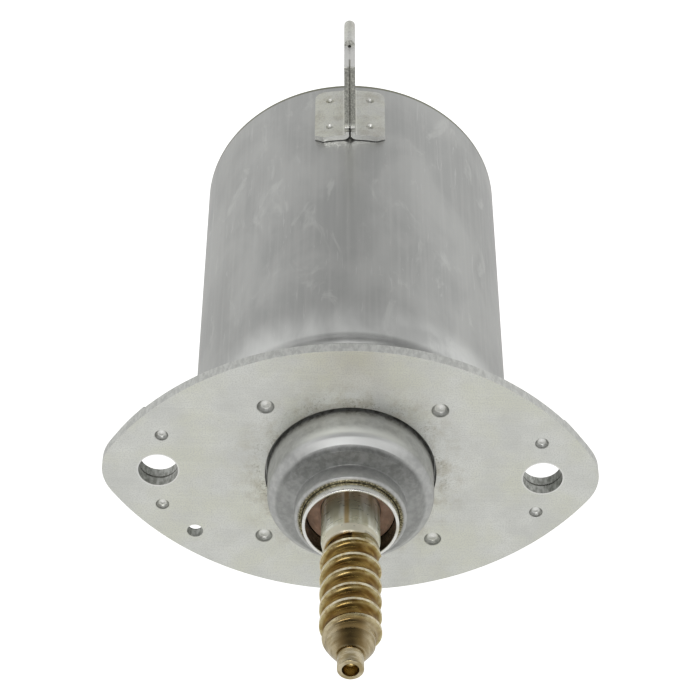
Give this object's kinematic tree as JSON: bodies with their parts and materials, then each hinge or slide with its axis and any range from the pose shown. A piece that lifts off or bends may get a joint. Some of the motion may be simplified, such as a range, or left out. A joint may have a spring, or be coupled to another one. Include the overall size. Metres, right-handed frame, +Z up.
{
  "type": "worm shaft actuator motor",
  "caption": "Brushed DC actuator motor in a drawn steel can, with a lens-shaped two-bolt flange, a folded bracket on the can and a worm on its shaft.",
  "frame": {"origin": "centre of the mounting flange's front face, on the shaft axis", "axes": "-Y along the shaft to the worm's tip, X along the flange through both bolt holes, +Z up towards the folded bracket"},
  "size_m": [0.1014, 0.1674, 0.0849],
  "materials": {
    "grey_steel": "satin grey drawn steel with faint blotches and streaks",
    "plated_steel": "satin zinc plating with fine speckle",
    "bright_steel": "bright drawn steel",
    "worm_steel": "ground steel under golden brown oil",
    "bearing_steel": "ground and polished",
    "spring_steel": "rolled spring steel",
    "seal_rubber": "reddish brown moulded rubber",
    "ferrite": "sintered dark grey ferrite",
    "laminations": "stacked sheet edges",
    "fibre_board": "green pressed fibre",
    "enamelled_copper": "varnished copper wire",
    "copper": "turned copper",
    "moulding": "black glass-filled plastic",
    "carbon": "pressed carbon",
    "brass": "stamped brass",
    "bronze": "sintered oil-filled bronze",
    "nylon": "natural moulded nylon"
  },
  "bodies": {
    "housing": {"pole_housing": "grey_steel", "mounting_flange": "plated_steel", "ear_doubler_left": "plated_steel", "ear_doubler_right": "plated_steel", "rear_bracket": "plated_steel", "front_bearing_outer_race": "bearing_steel", "bearing_retaining_ring": "spring_steel", "wave_washer": "spring_steel", "seal_case": "bright_steel", "shaft_seal": "seal_rubber", "seal_garter_spring": "spring_steel", "brush_carrier": "nylon", "choke_left": "enamelled_copper", "choke_right": "enamelled_copper", "rear_cap": "moulding", "cap_seal_ring": "seal_rubber", "terminal_left": "brass", "terminal_right": "brass", "rear_bearing_bush": "bronze", "bush_clip": "spring_steel", "magnet_1": "ferrite", "magnet_clip_1": "spring_steel", "brush_holder_1": "brass", "carbon_brush_1": "carbon", "brush_spring_1": "spring_steel", "magnet_2": "ferrite", "magnet_clip_2": "spring_steel", "brush_holder_2": "brass", "carbon_brush_2": "carbon", "brush_spring_2": "spring_steel", "magnet_3": "ferrite", "magnet_clip_3": "spring_steel", "brush_holder_3": "brass", "carbon_brush_3": "carbon", "brush_spring_3": "spring_steel", "magnet_4": "ferrite", "magnet_clip_4": "spring_steel", "brush_holder_4": "brass", "carbon_brush_4": "carbon", "brush_spring_4": "spring_steel"},
    "rotor": {"worm_shaft": "worm_steel", "shaft_circlip": "spring_steel", "front_bearing_inner_race": "bearing_steel", "armature_spacer": "bright_steel", "armature_core": "laminations", "insulator_front": "fibre_board", "insulator_rear": "fibre_board", "armature_winding": "enamelled_copper", "commutator_hub": "moulding", "commutator_copper": "copper", "thrust_washer": "nylon"},
    "ball_cage": {"bearing_cage": "nylon", "bearing_ball_1": "bearing_steel", "bearing_ball_2": "bearing_steel", "bearing_ball_3": "bearing_steel", "bearing_ball_4": "bearing_steel", "bearing_ball_5": "bearing_steel", "bearing_ball_6": "bearing_steel", "bearing_ball_7": "bearing_steel", "bearing_ball_8": "bearing_steel"}
  },
  "joints": [
    {"name": "rotor_spin", "type": "hinge", "parent": "housing", "child": "rotor", "pos_m": [0, 0, 0], "axis": [0, 1, 0], "continuous": true},
    {"name": "cage_roll", "type": "hinge", "parent": "housing", "child": "ball_cage", "pos_m": [0, -0.0032, 0], "axis": [0, 1, 0], "continuous": true}
  ],
  "couplings": [
    {"joint": "cage_roll", "follows": "rotor_spin", "ratio": 0.381}
  ]
}
